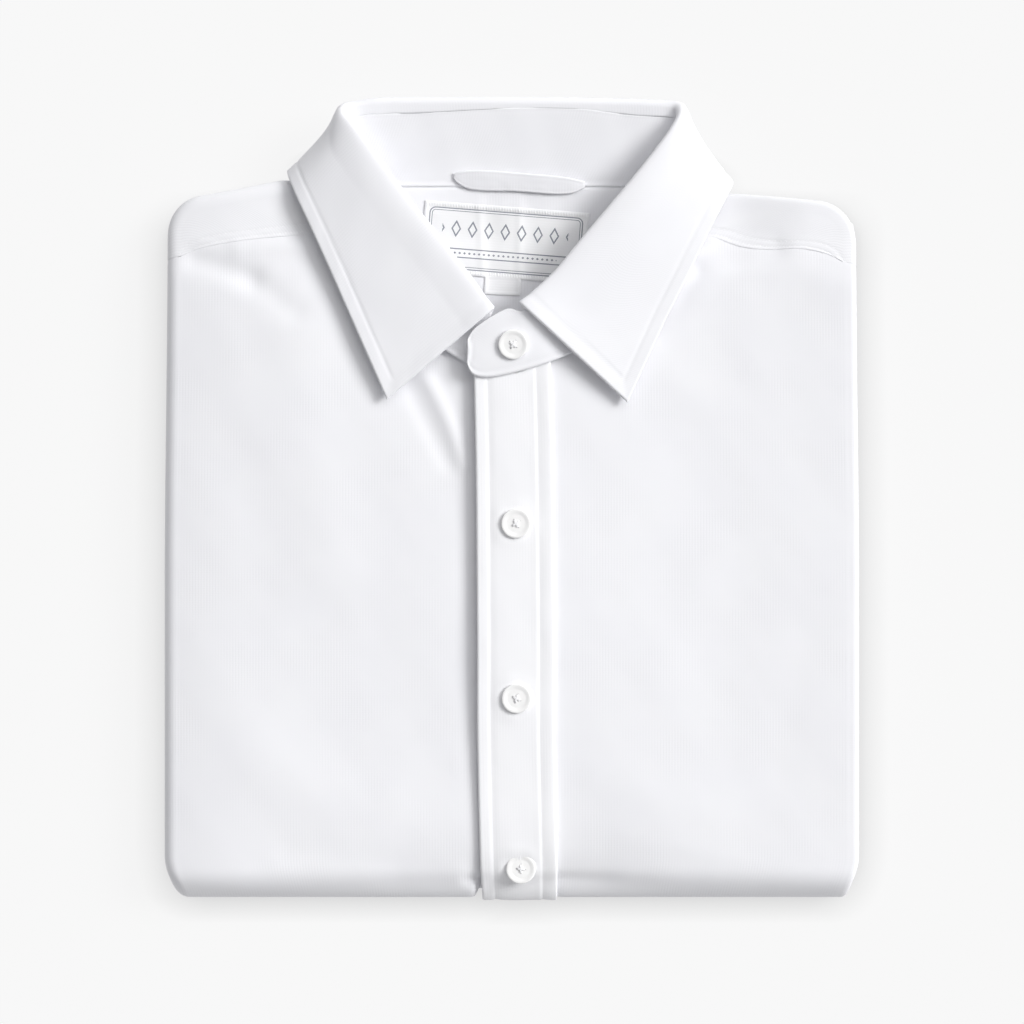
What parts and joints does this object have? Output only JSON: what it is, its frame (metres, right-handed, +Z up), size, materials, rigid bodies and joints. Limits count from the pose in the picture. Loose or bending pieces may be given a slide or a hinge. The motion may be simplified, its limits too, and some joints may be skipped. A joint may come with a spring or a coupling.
{
  "type": "folded_shirt",
  "caption": "A white knitted cotton button-down shirt, folded to a flat pack with its spread collar standing open and the buttoned placket down the middle.",
  "frame": {"origin": "Centre of the footprint, on the surface that the folded shirt lies on.", "axes": "+Y towards the collar, +Z up out of the front of the shirt, +X to the wearer's left."},
  "size_m": [0.313, 0.3608, 0.0424],
  "materials": {
    "knit": "matte",
    "knit_doubled": "matte",
    "knit_hidden": "matte",
    "satin": "satin",
    "button": "gloss"
  },
  "bodies": {
    "root": {"hidden_layers": "knit_hidden", "front_right": "knit", "front_left": "knit", "placket_under": "knit_doubled", "placket": "knit_doubled", "yoke_left_side": "knit", "yoke_right_side": "knit", "yoke_back": "knit", "collar_stand": "knit_doubled", "collar_fall": "knit_doubled", "neck_label": "satin", "size_tab": "satin", "hanging_loop": "knit", "button_collar": "button", "button_upper": "button", "button_middle": "button", "button_lower": "button", "button_beneath_1": "button", "button_beneath_2": "button", "button_beneath_3": "button"}
  },
  "joints": []
}
